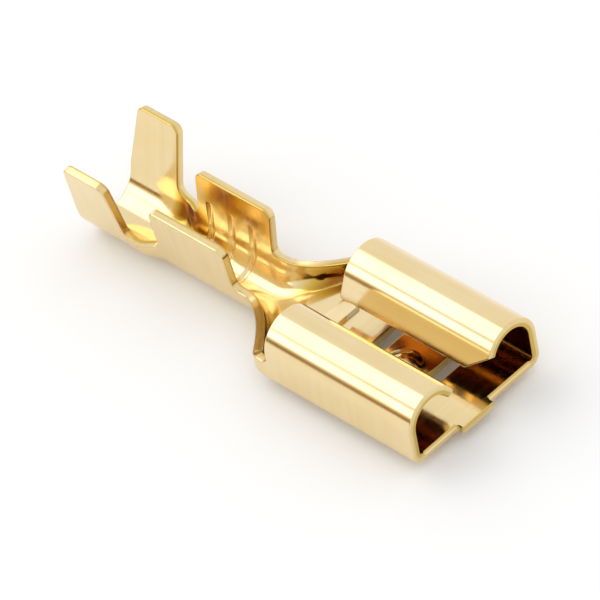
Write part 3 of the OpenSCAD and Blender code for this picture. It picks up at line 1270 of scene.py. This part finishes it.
@dataclass(frozen=True)
class BrassFinish:
    """One finish of the brass: tones, gloss and how strongly the strip's marks show."""

    name: str
    light: BrassTone
    dark: BrassTone
    roughness: float
    line_scale: float
    relief: float
    drift_share: float
    roughness_spread: float = 0.08
    streak: float = 0.55
    drift: Span = (0.4, 0.8)
    drift_scale: float = 320.0
    lines: Span = (0.3, 0.7)

    def material(self, marks: bpy.types.NodeTree) -> bpy.types.Material:
        """Builds the material.

        Args:
            marks: the node group of the strip's marks.

        Returns:
            The new material.
        """
        mat = bpy.data.materials.new(self.name)
        mat.use_nodes = True
        bench = NodeBench(mat.node_tree)
        shader = bench.nodes["Principled BSDF"].inputs
        shader["Metallic"].default_value = 1.0

        def read(label: str, output: str = "Fac") -> Socket:
            """Reads an attribute of the sheet."""
            return bench.node("ShaderNodeAttribute", attribute_name=label).outputs[output]

        place = {"Place": read("blank_place", "Vector"), "Drawn": read("drawn")}
        scales = {"Line Scale": self.line_scale, "Drift Scale": self.drift_scale}
        worn = bench.node("ShaderNodeGroup", {**place, **scales}, node_tree=marks)
        height = worn.outputs["Height"]
        lift = self.streak / 2.0  # what the streaks add on average
        mottle = bench.math("ADD", worn.outputs["Drift"], bench.math("MULTIPLY", height, self.streak))
        ends = (self.drift[0] + lift, self.drift[1] + lift)
        drift = bench.spread(mottle, ends, (0.0, self.drift_share))
        colour = bench.blend("RGBA", drift, self.light.value, self.dark.value)
        # painted shade: the colour is darkened towards the gold and dark brown shade tones where the
        # painted shade mask is high, in the hollows and along the rounded inner edge
        painted_shade = read("painted_shade")
        for step, tone in enumerate(SHADE_TONES):
            ends = (step / len(SHADE_TONES), (step + 1) / len(SHADE_TONES))
            colour = bench.blend("RGBA", bench.spread(painted_shade, ends), colour, tone.value)
        bench.feed(shader["Base Color"], colour)
        gloss = (self.roughness, self.roughness + self.roughness_spread)
        bench.feed(shader["Roughness"], bench.spread(height, self.lines, gloss))
        bump = {"Height": height, "Strength": 1.0, "Distance": self.relief * MM}
        bench.feed(shader["Normal"], bench.node("ShaderNodeBump", bump).outputs["Normal"])
        return mat


POLISHED = BrassFinish(
    name="polished_brass",
    light=BrassTone.BRIGHT,
    dark=BrassTone.DEEP,
    roughness=0.10,
    line_scale=3400.0,
    relief=0.0011,
    drift_share=0.5,
)
CUT_EDGE = BrassFinish(
    name="sheared_brass",
    light=BrassTone.SHEARED,
    dark=BrassTone.TORN,
    roughness=0.17,
    line_scale=6000.0,
    relief=0.0004,
    drift_share=0.7,
)


# ---- studio


@dataclass(frozen=True)
class SoftBox:
    """A soft box: where it hangs as seen from the terminal, in degrees and metres, and its light."""

    name: str
    azimuth: float
    elevation: float
    distance: float
    width: float
    height: float
    brightness: float


@dataclass(frozen=True)
class Studio:
    """Camera, floor and soft lights."""

    azimuth: float = math.radians(51.3975)
    elevation: float = math.radians(43.4190)
    roll: float = math.radians(11.2508)
    lens: float = 446.69
    sensor: float = 36.0
    reach: Span = (0.001, 10.0)
    station: tuple[float, float, float] = (177.603, -141.398, 215.756)
    floor_half: float = 0.5
    floor_tone: float = 0.92
    floor_lift: float = 0.03
    floor_drop: float = 0.02
    room: float = 0.97
    gap: Span = (0.13, 0.25)
    gap_tone: Colour = (0.36, 0.2, 0.03, 1.0)
    gap_spread: Span = (0.3, 0.8)
    gap_side: tuple[float, float, float] = (-0.57, -0.82, 0.0)
    boxes: tuple[SoftBox, ...] = (
        SoftBox("high_box", -163.0, 50.0, 0.4, 0.28, 0.2, 1.1),
        SoftBox("low_box", -130.0, 26.0, 0.4, 0.25, 0.13, 1.2),
        SoftBox("left_box", 166.0, 21.0, 0.4, 0.2, 0.12, 0.8),
    )

    def camera(self) -> None:
        """Sets the camera at the viewing angle."""
        az, el, roll = self.azimuth, self.elevation, self.roll
        back = Vector((math.cos(el) * math.sin(az), -math.cos(el) * math.cos(az), math.sin(el)))
        look = -back
        right = look.cross(Vector((0, 0, 1))).normalized()
        down = look.cross(right)
        side = right * math.cos(roll) + down * math.sin(roll)
        low = down * math.cos(roll) - right * math.sin(roll)
        data = bpy.data.cameras.new("camera")
        data.lens = self.lens
        data.sensor_width = self.sensor
        data.clip_start, data.clip_end = self.reach
        cam = linked("camera", data)
        turn = Matrix((side, -low, back)).transposed().to_4x4()
        cam.matrix_world = Matrix.Translation(Vector(self.station) * MM) @ turn
        bpy.context.scene.camera = cam

    def floor(self) -> None:
        """Lays the pale floor, which keeps the terminal's shadow and is clear from below."""
        mesh = bpy.data.meshes.new("floor")
        half = self.floor_half
        ring = [(-half, -half, 0.0), (half, -half, 0.0), (half, half, 0.0), (-half, half, 0.0)]
        mesh.from_pydata(ring, [], [(0, 1, 2, 3)])
        obj = linked("floor", mesh)
        obj.location.z = -self.floor_drop * MM
        mat = bpy.data.materials.new("floor_white")
        mat.use_nodes = True
        bench = NodeBench(mat.node_tree)
        bench.nodes.clear()
        path = bench.node("ShaderNodeLightPath")
        seen = bench.math("MAXIMUM", path.outputs["Is Camera Ray"], path.outputs["Is Glossy Ray"])
        matte = bench.node("ShaderNodeBsdfDiffuse", {"Color": grey(self.floor_tone)})
        glow = bench.node("ShaderNodeEmission", {"Strength": bench.math("MULTIPLY", seen, self.floor_lift)})
        both = bench.node("ShaderNodeAddShader", {0: matte.outputs[0], 1: glow.outputs[0]})
        back = bench.node("ShaderNodeNewGeometry").outputs["Backfacing"]
        clear = bench.node("ShaderNodeBsdfTransparent").outputs[0]
        shown = bench.node("ShaderNodeMixShader", {0: back, 1: both.outputs[0], 2: clear})
        bench.node("ShaderNodeOutputMaterial", {"Surface": shown.outputs[0]})
        mesh.materials.append(mat)

    def soft_box(self, box: SoftBox) -> None:
        """Hangs one soft box that faces the terminal.

        Args:
            box: the soft box.
        """
        az, el = math.radians(box.azimuth), math.radians(box.elevation)
        toward = Vector((math.cos(el) * math.cos(az), math.cos(el) * math.sin(az), math.sin(el)))
        data = bpy.data.lights.new(box.name, "AREA")
        data.shape = "RECTANGLE"
        data.size, data.size_y = box.width, box.height
        data.energy = box.brightness * math.pi * box.width * box.height
        lamp = linked(box.name, data)
        lamp.location = toward * box.distance
        lamp.rotation_euler = (-toward).to_track_quat("-Z", "Y").to_euler()

    def world(self) -> None:
        """Gives the room a plain light with a darker gap at the horizon, and white to the camera."""
        world = bpy.data.worlds.new("world")
        bpy.context.scene.world = world
        world.use_nodes = True
        bench = NodeBench(world.node_tree)
        way = bench.node("ShaderNodeTexCoord").outputs["Generated"]
        rise = bench.node("ShaderNodeSeparateXYZ", {"Vector": way}).outputs["Z"]
        front = bench.node("ShaderNodeVectorMath", {0: way, 1: self.gap_side}, operation="DOT_PRODUCT")
        ahead = bench.spread(front.outputs["Value"], self.gap_spread)
        band = bench.spread(rise, self.gap, (1.0, 0.0), interpolation_type="SMOOTHSTEP")
        dim = bench.math("MULTIPLY", ahead, band)
        lit = bench.blend("RGBA", dim, grey(self.room), self.gap_tone)
        seen = bench.node("ShaderNodeLightPath").outputs["Is Camera Ray"]
        bench.feed(bench.nodes["Background"].inputs["Color"], bench.blend("RGBA", seen, lit, grey(1.0)))

    def build(self) -> None:
        """Builds the whole set."""
        self.camera()
        self.floor()
        self.world()
        for box in self.boxes:
            self.soft_box(box)
        bpy.context.scene.view_settings.view_transform = "Standard"


# ---- main


def corners(bounds: tuple[Vector, Vector]) -> list[list[float]]:
    """A box as plain lists of numbers."""
    return [list(bounds[0]), list(bounds[1])]


def main() -> None:
    """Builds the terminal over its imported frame, and the studio round it."""
    logging.basicConfig(level=logging.INFO, format="%(name)s: %(message)s")
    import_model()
    sizes = Terminal()
    marks = rolling_marks()
    folded = FoldedSheet(sizes).build("spade_terminal")
    sizes.wire.press(sizes, folded, POLISHED.material(marks), CUT_EDGE.material(marks))
    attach(folded, "root")
    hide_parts("terminal")
    LOG.info("%s: %d points, %d faces", folded.name, len(folded.data.vertices), len(folded.data.polygons))
    Studio().build()


if __name__ == "__main__":
    main()
